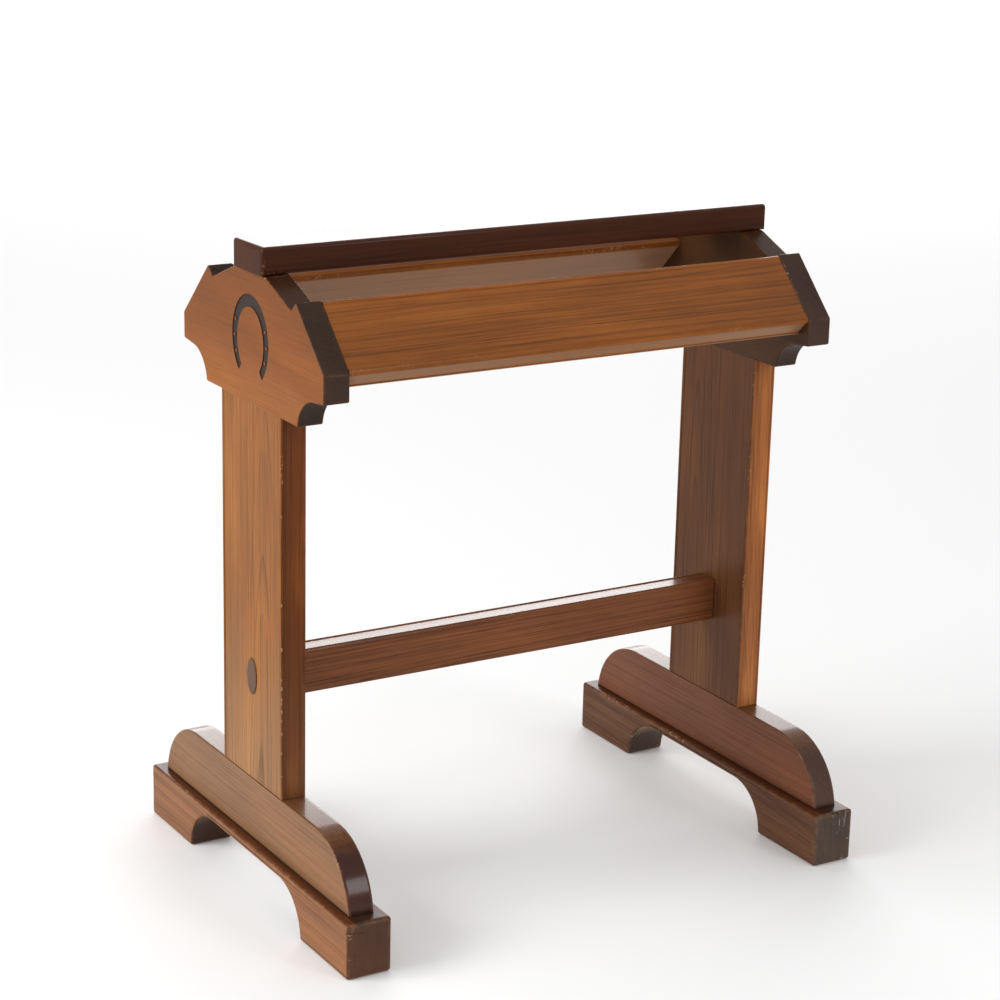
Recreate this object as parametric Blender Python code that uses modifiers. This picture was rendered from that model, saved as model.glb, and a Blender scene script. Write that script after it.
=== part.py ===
"""A wooden saddle rack: two end frames joined by a stretcher, a ridge bar and two sloping side rails.

Metres, +Z up. The rack stands on the floor at z = 0, with the origin under its middle. +X runs along the
rack from the front end frame to the rear one, -Y is its left side and +Y its right side.

Each end frame is built around an empty on the floor under the frame's middle. The empty's own +X points
inward, along the rack, so the rear frame is the front one turned half round.
"""

import math

import bmesh
import bpy
from mathutils import Euler, Vector

# Clearances
FIT = 0.0003  # between two pieces that touch, and round a pin in its hole

# Overall
RACK_LENGTH = 0.806  # over the outer faces of the two end frames
RACK_HEIGHT = 0.930  # from the floor to the top of the ridge bar
BOARD = 0.038  # planed thickness of every board

# Foot
FOOT_LENGTH = 0.632
FOOT_HEIGHT = 0.079
FOOT_STEP = 0.0145  # how far each side of the foot stands out from the board on it
FOOT_WEB = 0.013  # wood left above the arch
PAD_LENGTH = 0.140
FOOT_EDGE = 0.005

# Cleat
CLEAT_HEIGHT = 0.090
CLEAT_SETBACK = 0.023  # from the end of the foot to the end of the cleat
CLEAT_ROUND = 0.102  # radius of the big round-over on each end
CLEAT_EDGE = 0.003

# Upright
UPRIGHT_WIDTH = 0.184
UPRIGHT_EDGE = 0.003

# Head
HEAD_HEIGHT = 0.181
HEAD_OVERHANG = 0.048  # how far the head's lower edge passes the upright on each side
COVE_RADIUS = 0.049
COVE_DROP = 0.006  # how far the cove's centre lies below the head's lower edge
LIP_LENGTH = 0.0255  # nearly flat stretch between the cove and the head's side
LIP_RISE = 0.003
CHEEK_HEIGHT = 0.038  # upright side of the head
NOTCH_DEPTH = 0.019  # how much of the rail's upper edge the head's outline follows
HEAD_EDGE = 0.0025

# Side rails
RAIL_WIDTH = 0.114
RAIL_SLOPE = math.radians(45)
RAIL_EDGE = 0.006

# Ridge bar
RIDGE_WIDTH = 0.089
RIDGE_OVERHANG = 0.004  # from the outer face of the head to the end of the bar
RIDGE_EDGE = 0.005

# Stretcher
STRETCHER_HEIGHT = 0.065
STRETCHER_BASE = 0.289
STRETCHER_EDGE = 0.004
TENON_CHEEK = 0.005  # shoulder on each side of the tenon
TENON_SHOULDER = 0.0065  # shoulder above and below the tenon

# Dowels
DOWEL_RADIUS = 0.005
DOWEL_BITE = 0.025  # how deep a dowel goes into each of the two pieces
DOWEL_EDGE = 0.0008
HEAD_DOWEL_SPACING = 0.120
RIDGE_DOWEL_SPACING = 0.045
RAIL_DOWEL_SPACING = 0.060

# Lag screws and their washers
LAG_RADIUS = 0.004
LAG_BITE = 0.047  # how deep a lag screw goes into the upright
LAG_SPACING = 0.100
LAG_TIP = 0.008
LAG_HEAD_ACROSS = 0.013
LAG_HEAD_HEIGHT = 0.0055
WASHER_RADIUS = 0.011
WASHER_THICKNESS = 0.0018

# Foot screws
SCREW_RADIUS = 0.003
SCREW_BITE = 0.035  # how deep a foot screw goes into the cleat
SCREW_TIP = 0.006
SCREW_SEAT = 0.039  # wood left between the counterbore and the cleat
SCREW_INSET = 0.070  # from the end of the foot
SCREW_HEAD_RADIUS = 0.006
SCREW_HEAD_HEIGHT = 0.004
COUNTERBORE_RADIUS = 0.008

# How finely round shapes are cut
ARC_STEP = math.radians(7.5)
PIN_SIDES = 16
EDGE_SEGMENTS = 2
SHARP = math.radians(30)

# What follows from the sizes above
FOOT_WIDTH = BOARD + 2 * FOOT_STEP
ARCH_RADIUS = FOOT_HEIGHT - FOOT_WEB
CLEAT_LENGTH = FOOT_LENGTH - 2 * CLEAT_SETBACK
CLEAT_BASE = FOOT_HEIGHT + FIT
UPRIGHT_BASE = CLEAT_BASE + CLEAT_HEIGHT + FIT
RIDGE_BASE = RACK_HEIGHT - BOARD
HEAD_BASE = RIDGE_BASE - FIT - HEAD_HEIGHT
UPRIGHT_TOP = HEAD_BASE - FIT
FRAME_X = (RACK_LENGTH - BOARD) / 2
INSIDE_LENGTH = RACK_LENGTH - 2 * BOARD - 2 * FIT
TENON_WIDTH = BOARD - 2 * TENON_CHEEK
TENON_HEIGHT = STRETCHER_HEIGHT - 2 * TENON_SHOULDER
STRETCHER_MIDDLE = STRETCHER_BASE + STRETCHER_HEIGHT / 2

# An outline is drawn in its own XY plane, then stood up across the rack: X to +Y, Y to +Z, Z to +X.
ACROSS_THE_RACK = (math.pi / 2, 0, math.pi / 2)

COLOURS = {  # linear RGB
    "foot": (0.150, 0.062, 0.027),
    "cleat": (0.165, 0.072, 0.030),
    "upright": (0.230, 0.105, 0.042),
    "head": (0.260, 0.108, 0.036),
    "stretcher": (0.210, 0.082, 0.034),
    "ridge_bar": (0.060, 0.027, 0.016),
    "rail": (0.270, 0.095, 0.022),
    "dowel": (0.520, 0.370, 0.210),
    "zinc": (0.550, 0.550, 0.530),
}
VARNISH_ROUGHNESS = 0.38
BARE_ROUGHNESS = 0.75
ZINC_ROUGHNESS = 0.35


def clear_scene():
    for obj in list(bpy.data.objects):
        bpy.data.objects.remove(obj, do_unlink=True)


def new_collection(name, hidden=False):
    collection = bpy.data.collections.new(name)
    bpy.context.scene.collection.children.link(collection)
    collection.hide_render = hidden
    return collection


def make_material(name):
    material = bpy.data.materials.new(name)
    material.use_nodes = True
    shader = material.node_tree.nodes["Principled BSDF"]
    shader.inputs["Base Color"].default_value = (*COLOURS[name], 1)
    metal = name == "zinc"
    roughness = {"zinc": ZINC_ROUGHNESS, "dowel": BARE_ROUGHNESS}.get(name, VARNISH_ROUGHNESS)
    shader.inputs["Metallic"].default_value = 1.0 if metal else 0.0
    shader.inputs["Roughness"].default_value = roughness
    return material


def place(name, mesh, kind, location=(0, 0, 0), parent=None):
    """Put a mesh in the rack as a named piece of one kind of material."""
    if not mesh.materials:
        mesh.materials.append(MATERIALS[kind])
    obj = bpy.data.objects.new(name, mesh)
    PARTS.objects.link(obj)
    obj.location = location
    obj.parent = parent
    return obj


def hide_as_cutter(obj):
    """Keep an object as a cutter: drawn as wires and left out of the render."""
    for collection in list(obj.users_collection):
        collection.objects.unlink(obj)
    CUTTERS.objects.link(obj)
    obj.hide_render = True
    obj.display_type = "WIRE"
    return obj


def mesh_from(bm, name):
    mesh = bpy.data.meshes.new(name)
    bm.to_mesh(mesh)
    bm.free()
    return mesh


def box_mesh(name, size):
    bm = bmesh.new()
    bmesh.ops.create_cube(bm, size=1)
    bmesh.ops.scale(bm, vec=size, verts=bm.verts)
    return mesh_from(bm, name)


def rod_mesh(name, radius, length, sides=PIN_SIDES):
    """A cylinder along Z that starts at its origin."""
    bm = bmesh.new()
    bmesh.ops.create_cone(bm, cap_ends=True, segments=sides, radius1=radius, radius2=radius, depth=length)
    bmesh.ops.translate(bm, vec=(0, 0, length / 2), verts=bm.verts)
    return mesh_from(bm, name)


def board_mesh(name, outline, thickness):
    """A flat board cut to an outline, as a mesh centred on the outline's plane."""
    curve = bpy.data.curves.new(name, "CURVE")
    curve.dimensions = "2D"
    curve.fill_mode = "BOTH"
    curve.extrude = thickness / 2
    spline = curve.splines.new("POLY")
    spline.points.add(len(outline) - 1)
    for point, (across, up) in zip(spline.points, outline):
        point.co = (across, up, 0, 1)
    spline.use_cyclic_u = True
    drawn = bpy.data.objects.new(name, curve)
    PARTS.objects.link(drawn)
    evaluated = drawn.evaluated_get(bpy.context.evaluated_depsgraph_get())
    mesh = bpy.data.meshes.new_from_object(evaluated)
    bpy.data.objects.remove(drawn)
    bpy.data.curves.remove(curve)
    bm = bmesh.new()
    bm.from_mesh(mesh)
    bmesh.ops.remove_doubles(bm, verts=bm.verts, dist=FIT / 10)
    flat = [edge for edge in bm.edges if edge.calc_face_angle(1) < ARC_STEP / 10]
    bmesh.ops.dissolve_edges(bm, edges=flat)
    bmesh.ops.recalc_face_normals(bm, faces=bm.faces)
    bm.to_mesh(mesh)
    bm.free()
    return mesh


def arc(centre, radius, start, end):
    """Points of a round stretch of an outline, both ends included."""
    steps = max(2, round(abs(end - start) / ARC_STEP))
    angles = [start + (end - start) * i / steps for i in range(steps + 1)]
    return [(centre[0] + radius * math.cos(a), centre[1] + radius * math.sin(a)) for a in angles]


def mirrored(half):
    """A whole outline from its +Y half, which runs up from the bottom."""
    return half + [(-across, up) for across, up in reversed(half)]


def oval(width, height):
    """An upright ellipse, centred on its origin."""
    circle = arc((0, 0), 1, 0, 2 * math.pi)[:-1]
    return [(across * width / 2, up * height / 2) for across, up in circle]


def round_edges(obj, radius, exposed=lambda middle: True, segments=EDGE_SEGMENTS):
    """Round the sharp edges whose middle, in the object's own axes, passes the exposed test."""
    bm = bmesh.new()
    bm.from_mesh(obj.data)
    weight = bm.edges.layers.float.new("bevel_weight_edge")
    for edge in bm.edges:
        middle = (edge.verts[0].co + edge.verts[1].co) / 2
        if edge.calc_face_angle(0) > SHARP and exposed(middle):
            edge[weight] = 1
    bm.to_mesh(obj.data)
    bm.free()
    bevel = obj.modifiers.new("rounded edges", "BEVEL")
    bevel.limit_method = "WEIGHT"
    bevel.width = radius
    bevel.segments = segments
    bevel.use_clamp_overlap = False


def join_or_cut(obj, other, operation):
    boolean = obj.modifiers.new(other.name, "BOOLEAN")
    boolean.operation = operation
    boolean.object = other


def bore(name, radius, length, location, rotation, parent, pieces):
    """Drill a round hole along the cutter's own Z through every piece given."""
    cutter = place(name, rod_mesh(name, radius, length), "dowel", location, parent)
    cutter.rotation_euler = rotation
    hide_as_cutter(cutter)
    for piece in pieces:
        join_or_cut(piece, cutter, "DIFFERENCE")


def turned(name, kind, profile, location, parent, closed=False):
    """A piece turned about its own Z. The profile runs down its outer side from the top."""
    mesh = bpy.data.meshes.new(name)
    edges = [(i, i + 1) for i in range(len(profile) - 1)]
    if closed:
        edges.append((len(profile) - 1, 0))
    mesh.from_pydata([(radius, 0, up) for radius, up in profile], edges, [])
    obj = place(name, mesh, kind, location, parent)
    screw = obj.modifiers.new("turned", "SCREW")
    screw.steps = PIN_SIDES
    screw.render_steps = PIN_SIDES
    screw.use_merge_vertices = True
    screw.merge_threshold = FIT / 10
    return obj


def side_name(parent, across):
    """Which side of the rack a place in an end frame is on."""
    turned_round = parent.name.startswith("rear")
    return "right" if (across > 0) != turned_round else "left"


def end_name(parent):
    return parent.name.split("_")[0]


def foot_outline():
    half = FOOT_LENGTH / 2
    arch_middle = half - PAD_LENGTH - ARCH_RADIUS
    arch = arc((arch_middle, 0), ARCH_RADIUS, math.pi / 2, 0)
    return mirrored(arch + [(half, 0), (half, FOOT_HEIGHT)])


def make_foot(parent):
    """A sled beam: a pad at each end, an arch between, and every edge rounded."""
    name = end_name(parent) + "_foot"
    foot = place(name, board_mesh(name, foot_outline(), FOOT_WIDTH), "foot", parent=parent)
    foot.rotation_euler = ACROSS_THE_RACK
    round_edges(foot, FOOT_EDGE)
    return foot


def cleat_outline():
    drop = max(CLEAT_ROUND - CLEAT_HEIGHT, 0)
    start = math.asin(drop / CLEAT_ROUND)
    centre = (CLEAT_LENGTH / 2 - CLEAT_ROUND * math.cos(start), CLEAT_HEIGHT - CLEAT_ROUND)
    end_round = arc(centre, CLEAT_ROUND, start, math.pi / 2)
    foot_corner = [(CLEAT_LENGTH / 2, 0)] if drop == 0 else []
    return mirrored(foot_corner + end_round)


def make_cleat(parent):
    """A board on edge, square where it sits on the foot, with its ends rounded over."""
    name = end_name(parent) + "_cleat"
    cleat = place(name, board_mesh(name, cleat_outline(), BOARD), "cleat", (0, 0, CLEAT_BASE), parent)
    cleat.rotation_euler = ACROSS_THE_RACK
    round_edges(cleat, CLEAT_EDGE, lambda middle: middle.y > CLEAT_EDGE / 2)
    return cleat


def make_upright(parent):
    """The wide board that carries the head. Its long edges are rounded and its ends are square."""
    name = end_name(parent) + "_upright"
    length = UPRIGHT_TOP - UPRIGHT_BASE
    mesh = box_mesh(name, (BOARD, UPRIGHT_WIDTH, length))
    upright = place(name, mesh, "upright", (0, 0, UPRIGHT_BASE + length / 2), parent)
    round_edges(upright, UPRIGHT_EDGE, lambda middle: abs(middle.z) < length / 4)
    return upright


def rail_corners():
    """The lower and upper corner of a rail's outer face, up from the head's lower edge."""
    cove_run = math.sqrt(COVE_RADIUS**2 - COVE_DROP**2)
    half_width = UPRIGHT_WIDTH / 2 + HEAD_OVERHANG + cove_run + LIP_LENGTH
    lower = Vector((half_width, COVE_RADIUS - COVE_DROP + LIP_RISE + CHEEK_HEIGHT))
    upper = lower + RAIL_WIDTH * Vector((-math.cos(RAIL_SLOPE), math.sin(RAIL_SLOPE)))
    return lower, upper


def into_the_rail():
    """The way from a rail's outer face into its thickness, on the +Y side."""
    return Vector((-math.sin(RAIL_SLOPE), -math.cos(RAIL_SLOPE)))


def head_outline():
    lower, upper = rail_corners()
    cove_start = math.pi - math.asin(COVE_DROP / COVE_RADIUS)
    cove_middle = (lower.x - LIP_LENGTH, -COVE_DROP)
    cove = arc(cove_middle, COVE_RADIUS, cove_start, math.pi / 2)
    lip_corner = (lower.x, lower.y - CHEEK_HEIGHT)
    notch = upper + NOTCH_DEPTH * into_the_rail()
    flat_corner = (RIDGE_WIDTH / 2, HEAD_HEIGHT)
    corners = [lip_corner, tuple(lower), tuple(upper), tuple(notch), flat_corner]
    return mirrored(cove + corners)


def make_head(parent):
    """The shaped end board, with every edge rounded."""
    name = end_name(parent) + "_head"
    head = place(name, board_mesh(name, head_outline(), BOARD), "head", (0, 0, HEAD_BASE), parent)
    head.rotation_euler = ACROSS_THE_RACK
    round_edges(head, HEAD_EDGE)
    return head


def make_ridge_bar():
    """The bar on top. Its ends are square below, where they meet the heads."""
    length = RACK_LENGTH + 2 * RIDGE_OVERHANG
    mesh = box_mesh("ridge_bar", (length, RIDGE_WIDTH, BOARD))
    bar = place("ridge_bar", mesh, "ridge_bar", (0, 0, RIDGE_BASE + BOARD / 2))
    round_edges(bar, RIDGE_EDGE, lambda middle: abs(middle.x) < length / 4 or middle.z > -BOARD / 4)
    return bar


def rail_middle(side):
    """The middle of a rail's section, up from the floor. Side is -1 for left and 1 for right."""
    lower, upper = rail_corners()
    middle = (lower + upper) / 2 + BOARD / 2 * into_the_rail()
    return Vector((0, side * middle.x, HEAD_BASE + middle.y))


def make_rail(side):
    """A board between the heads on their sloping shoulders, flush with their outline."""
    name = ("left" if side < 0 else "right") + "_rail"
    mesh = box_mesh(name, (INSIDE_LENGTH, RAIL_WIDTH, BOARD))
    rail = place(name, mesh, "rail", rail_middle(side))
    rail.rotation_euler = (-side * RAIL_SLOPE, 0, 0)
    round_edges(rail, RAIL_EDGE, lambda middle: abs(middle.x) < INSIDE_LENGTH / 4)
    return rail


def make_stretcher(uprights):
    """The rail between the uprights. One long oval bar through it makes both tenons."""
    mesh = box_mesh("stretcher", (INSIDE_LENGTH, BOARD, STRETCHER_HEIGHT))
    middle = (0, 0, STRETCHER_MIDDLE)
    stretcher = place("stretcher", mesh, "stretcher", middle)
    round_edges(stretcher, STRETCHER_EDGE, lambda middle: abs(middle.x) < INSIDE_LENGTH / 4)
    tenon_outline = oval(TENON_WIDTH, TENON_HEIGHT)
    tenons = place("tenons", board_mesh("tenons", tenon_outline, RACK_LENGTH), "stretcher", middle)
    mortise_outline = oval(TENON_WIDTH + 2 * FIT, TENON_HEIGHT + 2 * FIT)
    mortise_mesh = board_mesh("mortises", mortise_outline, RACK_LENGTH + 2 * BOARD)
    mortises = place("mortises", mortise_mesh, "stretcher", middle)
    for cutter in (tenons, mortises):
        cutter.rotation_euler = ACROSS_THE_RACK
        hide_as_cutter(cutter)
    join_or_cut(stretcher, tenons, "UNION")
    for upright in uprights:
        join_or_cut(upright, mortises, "DIFFERENCE")


def make_dowel(name, joint, rotation, parent, pieces):
    """A dowel whose middle is at the joint, and its hole in the two pieces."""
    along = Vector((0, 0, 1))
    along.rotate(Euler(rotation))
    mesh = rod_mesh(name, DOWEL_RADIUS, 2 * DOWEL_BITE)
    dowel = place(name, mesh, "dowel", joint - along * DOWEL_BITE, parent)
    dowel.rotation_euler = rotation
    round_edges(dowel, DOWEL_EDGE, segments=1)
    start = joint - along * (DOWEL_BITE + FIT)
    bore(name + "_hole", DOWEL_RADIUS + FIT, 2 * (DOWEL_BITE + FIT), start, rotation, parent, pieces)


def dowel_frame(parent, upright, head, ridge_bar, rails):
    """All the dowels of one end frame."""
    upward = (0, 0, 0)
    inward = (0, math.pi / 2, 0)
    for sign in (-1, 1):
        label = end_name(parent) + "_" + side_name(parent, sign)
        neck = Vector((0, sign * HEAD_DOWEL_SPACING / 2, HEAD_BASE - FIT / 2))
        make_dowel(label + "_head_dowel", neck, upward, parent, (upright, head))
        seat = Vector((0, sign * RIDGE_DOWEL_SPACING / 2, RIDGE_BASE - FIT / 2))
        make_dowel(label + "_ridge_dowel", seat, upward, parent, (head, ridge_bar))
        rail = rails[side_name(parent, sign)]
        up_the_slope = Vector((0, -sign * math.cos(RAIL_SLOPE), math.sin(RAIL_SLOPE)))
        for level, step in (("lower", -0.5), ("upper", 0.5)):
            middle = rail_middle(sign) + step * RAIL_DOWEL_SPACING * up_the_slope
            middle.x = (BOARD + FIT) / 2
            make_dowel(f"{label}_{level}_rail_dowel", middle, inward, parent, (head, rail))


def fix_with_lag_screw(parent, across, foot, cleat, upright):
    """A lag screw and washer, up through the foot's web and the cleat into the upright."""
    label = end_name(parent) + "_" + side_name(parent, across)
    washer_base = ARCH_RADIUS - FIT - WASHER_THICKNESS
    washer_profile = [
        (WASHER_RADIUS, WASHER_THICKNESS),
        (WASHER_RADIUS, 0),
        (LAG_RADIUS + FIT, 0),
        (LAG_RADIUS + FIT, WASHER_THICKNESS),
    ]
    turned(label + "_washer", "zinc", washer_profile, (0, across, washer_base), parent, closed=True)
    seat = washer_base - FIT
    length = UPRIGHT_BASE + LAG_BITE - seat
    shank = [
        (0, length),
        (LAG_RADIUS, length - LAG_TIP),
        (LAG_RADIUS, -LAG_HEAD_HEIGHT / 2),
        (0, -LAG_HEAD_HEIGHT / 2),
    ]
    lag = turned(label + "_lag_screw", "zinc", shank, (0, across, seat), parent)
    corner_radius = LAG_HEAD_ACROSS / 2 / math.cos(math.pi / 6)
    head_mesh = rod_mesh(label + "_lag_head", corner_radius, LAG_HEAD_HEIGHT, sides=6)
    head = place(label + "_lag_head", head_mesh, "zinc", (0, across, seat - LAG_HEAD_HEIGHT), parent)
    hide_as_cutter(head)
    join_or_cut(lag, head, "UNION")
    hole = (0, across, washer_base)
    pieces = (foot, cleat, upright)
    depth = seat + length + FIT - washer_base
    bore(label + "_lag_hole", LAG_RADIUS + FIT, depth, hole, (0, 0, 0), parent, pieces)


def fix_with_foot_screw(parent, across, foot, cleat):
    """A screw that sits in a counterbore in the pad and holds the end of the cleat."""
    label = end_name(parent) + "_" + side_name(parent, across)
    seat = FOOT_HEIGHT - SCREW_SEAT
    top = CLEAT_BASE + SCREW_BITE
    profile = [
        (0, top - seat),
        (SCREW_RADIUS, top - seat - SCREW_TIP),
        (SCREW_RADIUS, -FIT),
        (SCREW_HEAD_RADIUS, -FIT),
        (SCREW_HEAD_RADIUS, -SCREW_HEAD_HEIGHT),
        (0, -SCREW_HEAD_HEIGHT),
    ]
    turned(label + "_foot_screw", "zinc", profile, (0, across, seat), parent)
    below = (0, across, -FIT)
    upward = (0, 0, 0)
    bore(label + "_counterbore", COUNTERBORE_RADIUS, seat + FIT, below, upward, parent, (foot,))
    hole = (0, across, seat - FIT)
    depth = top - seat + 2 * FIT
    bore(label + "_screw_hole", SCREW_RADIUS + FIT, depth, hole, upward, parent, (foot, cleat))


def make_frame(end, direction, ridge_bar, rails):
    """One end frame. Direction is -1 for the front end and 1 for the rear one."""
    frame = bpy.data.objects.new(end + "_frame", None)
    PARTS.objects.link(frame)
    frame.location = (direction * FRAME_X, 0, 0)
    frame.rotation_euler = (0, 0, math.pi if direction > 0 else 0)
    foot = make_foot(frame)
    cleat = make_cleat(frame)
    upright = make_upright(frame)
    head = make_head(frame)
    dowel_frame(frame, upright, head, ridge_bar, rails)
    screw_across = FOOT_LENGTH / 2 - SCREW_INSET
    for sign in (-1, 1):
        fix_with_lag_screw(frame, sign * LAG_SPACING / 2, foot, cleat, upright)
        fix_with_foot_screw(frame, sign * screw_across, foot, cleat)
    return upright


clear_scene()
PARTS = new_collection("saddle_rack")
CUTTERS = new_collection("cutters", hidden=True)
MATERIALS = {name: make_material(name) for name in COLOURS}
ridge = make_ridge_bar()
side_rails = {"left": make_rail(-1), "right": make_rail(1)}
frames = [make_frame(end, direction, ridge, side_rails) for end, direction in (("front", -1), ("rear", 1))]
make_stretcher(frames)
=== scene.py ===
"""The looks of a wooden saddle rack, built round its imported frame. Metres, +Z up, rack along X."""

import math

import bmesh
import bpy
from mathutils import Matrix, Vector


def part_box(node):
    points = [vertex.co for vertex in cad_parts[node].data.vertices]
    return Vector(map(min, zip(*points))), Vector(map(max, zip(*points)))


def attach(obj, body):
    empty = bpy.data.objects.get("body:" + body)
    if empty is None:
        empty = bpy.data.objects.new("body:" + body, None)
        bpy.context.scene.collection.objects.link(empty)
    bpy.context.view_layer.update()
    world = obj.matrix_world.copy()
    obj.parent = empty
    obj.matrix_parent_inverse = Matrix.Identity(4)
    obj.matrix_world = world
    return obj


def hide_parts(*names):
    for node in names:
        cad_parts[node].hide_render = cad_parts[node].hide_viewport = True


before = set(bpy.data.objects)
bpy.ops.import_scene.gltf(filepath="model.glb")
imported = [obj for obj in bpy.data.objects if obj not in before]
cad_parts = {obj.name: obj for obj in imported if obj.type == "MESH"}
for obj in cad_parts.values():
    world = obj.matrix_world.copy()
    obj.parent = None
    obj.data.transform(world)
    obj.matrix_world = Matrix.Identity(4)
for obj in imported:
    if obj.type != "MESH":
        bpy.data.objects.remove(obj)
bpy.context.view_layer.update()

# ---------------------------------------------------------------------------------------------------
# Feet. Two sled beams across the rack, sawn from thick pine, with an arch that leaves a pad at each
# end. They are stained brown and varnished, scuffed at the ends, and take the screws from below.
# ---------------------------------------------------------------------------------------------------

PAD_LENGTH = 0.140
ARCH_RADIUS = 0.066
FOOT_EDGE = 0.005
COUNTERBORE_RADIUS = 0.008
SCREW_SEAT_HEIGHT = 0.040
LAG_HOLE_RADIUS = 0.0043
ARC_STEP = math.radians(6)
EDGE_STEPS = 4
SMOOTH_UNDER = math.radians(35)
SHARP = math.radians(20)
# Edge wear and the painted edge highlight both follow the rounded edges
EDGE_MARGIN = 0.0018  # how far wear reaches from a rounded edge onto the flat
MARGIN_NEARNESS = 0.55  # where that stretch meets the rounding, next to 1 on the rounding
END_ZONE = 0.1  # an edge whose middle is nearer to a board's middle than this runs along it
CLEARANCE = 0.01  # how far a cutter stands out of what it cuts
CHIP_SUNK = 0.45  # how far off the surface a chip's middle lies, as a share of its radius
FIT = 0.0003
ALONG_X = (0, -math.pi / 2, 0)  # turns a board's length to Z, for its grain
ALONG_Y = (math.pi / 2, 0, 0)
ALONG_Z = (0, 0, 0)
INWARD = {"front": 1.0, "rear": -1.0}  # the way along X that an end frame's inner faces look


def arc(middle, radius, start, end):
    """Points of a round stretch of an outline."""
    steps = max(2, round(abs(end - start) / ARC_STEP))
    angles = [start + (end - start) * i / steps for i in range(steps + 1)]
    return [(middle[0] + radius * math.cos(a), middle[1] + radius * math.sin(a)) for a in angles]


def mirrored(half):
    """A whole outline from its +Y half, which runs up from the bottom."""
    return half + [(-across, up) for across, up in reversed(half)]


def start_editing(piece):
    bpy.ops.object.select_all(action="DESELECT")
    piece.select_set(True)
    bpy.context.view_layer.objects.active = piece
    bpy.ops.object.mode_set(mode="EDIT")
    bpy.ops.mesh.select_mode(type="VERT")
    bpy.ops.mesh.select_all(action="DESELECT")
    return bmesh.from_edit_mesh(piece.data)


def stop_editing(piece):
    bmesh.update_edit_mesh(piece.data)
    bpy.ops.object.mode_set(mode="OBJECT")


def traced_board(name, outline, back, front):
    """Trace an outline in the YZ plane, fill it, and extrude it from x = back to x = front."""
    bpy.ops.object.select_all(action="DESELECT")
    bpy.ops.mesh.primitive_plane_add(size=0.01)
    piece = bpy.context.object
    piece.name = name
    shape = start_editing(piece)
    shape.verts.ensure_lookup_table()
    for vert in shape.verts[1:]:
        vert.select = True
    shape.select_flush(True)
    bmesh.update_edit_mesh(piece.data)
    bpy.ops.mesh.delete(type="VERT")
    shape = bmesh.from_edit_mesh(piece.data)
    shape.verts.ensure_lookup_table()
    shape.verts[0].co = (back, *outline[0])
    shape.verts[0].select = True
    bmesh.update_edit_mesh(piece.data)
    for (across, up), (next_across, next_up) in zip(outline, outline[1:]):
        step = (0, next_across - across, next_up - up)
        bpy.ops.mesh.extrude_region_move(TRANSFORM_OT_translate={"value": step})
    bpy.ops.mesh.select_all(action="SELECT")
    bpy.ops.mesh.edge_face_add()
    bpy.ops.mesh.extrude_region_move(TRANSFORM_OT_translate={"value": (front - back, 0, 0)})
    bpy.ops.mesh.select_all(action="SELECT")
    bpy.ops.mesh.normals_make_consistent(inside=False)
    stop_editing(piece)
    return piece


def sawn_board(name, low, high):
    """A straight board between two corners."""
    middle = [(a + b) / 2 for a, b in zip(low, high)]
    bpy.ops.object.select_all(action="DESELECT")
    bpy.ops.mesh.primitive_cube_add(size=1, location=middle, scale=[b - a for a, b in zip(low, high)])
    piece = bpy.context.object
    piece.name = name
    bpy.ops.object.transform_apply(location=True, rotation=True, scale=True)
    return piece


def round_edges(piece, radius, exposed=lambda middle: True):
    """Round the sharp edges that pass the test, then mark how near each point lies to a rounding, which
    places edge wear and the painted edge highlight.
    """
    for _ in range(2):
        piece.data.materials.append(None)
    shape = start_editing(piece)
    bpy.ops.mesh.select_mode(type="EDGE")
    for edge in shape.edges:
        middle = (edge.verts[0].co + edge.verts[1].co) / 2
        edge.select = edge.calc_face_angle(0) > SHARP and exposed(middle)
    bmesh.update_edit_mesh(piece.data)
    bpy.ops.mesh.bevel(offset=radius, segments=EDGE_STEPS, affect="EDGES", clamp_overlap=False, material=1)
    bpy.ops.mesh.select_mode(type="FACE")
    bpy.ops.mesh.select_all(action="DESELECT")
    shape = bmesh.from_edit_mesh(piece.data)
    for face in shape.faces:
        face.select = face.material_index == 0
    bmesh.update_edit_mesh(piece.data)
    bpy.ops.mesh.inset(thickness=EDGE_MARGIN, use_boundary=True, use_even_offset=True)
    shape = bmesh.from_edit_mesh(piece.data)
    edge_nearness = shape.verts.layers.float.new("edge_nearness")
    for vert in shape.verts:
        rounded = [face.material_index == 1 for face in vert.link_faces]
        vert[edge_nearness] = 1.0 if all(rounded) else MARGIN_NEARNESS if any(rounded) else 0.0
    for face in shape.faces:
        face.material_index = 0
    stop_editing(piece)
    while piece.data.materials:
        piece.data.materials.pop()


def cut_away(piece, cutter):
    """Cut one piece with another, which is then thrown away."""
    cut = piece.modifiers.new("cut", "BOOLEAN")
    cut.operation = "DIFFERENCE"
    cut.object = cutter
    cut.material_mode = "TRANSFER"
    bpy.ops.object.select_all(action="DESELECT")
    bpy.context.view_layer.objects.active = piece
    bpy.ops.object.modifier_apply(modifier=cut.name)
    bpy.data.objects.remove(cutter)


def join_on(piece, other):
    """Make another piece one with this one."""
    join = piece.modifiers.new("join", "BOOLEAN")
    join.operation = "UNION"
    join.object = other
    bpy.ops.object.select_all(action="DESELECT")
    bpy.context.view_layer.objects.active = piece
    bpy.ops.object.modifier_apply(modifier=join.name)
    bpy.data.objects.remove(other)


def chip(piece, place, radius, stretch=(1, 1, 1)):
    """Knock a small hollow out of a piece, down to bare wood."""
    bpy.ops.object.select_all(action="DESELECT")
    bpy.ops.mesh.primitive_ico_sphere_add(subdivisions=2, radius=radius, location=place, scale=stretch)
    bite = bpy.context.object
    bite.data.materials.append(RAW_WOOD)
    cut_away(piece, bite)


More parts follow.
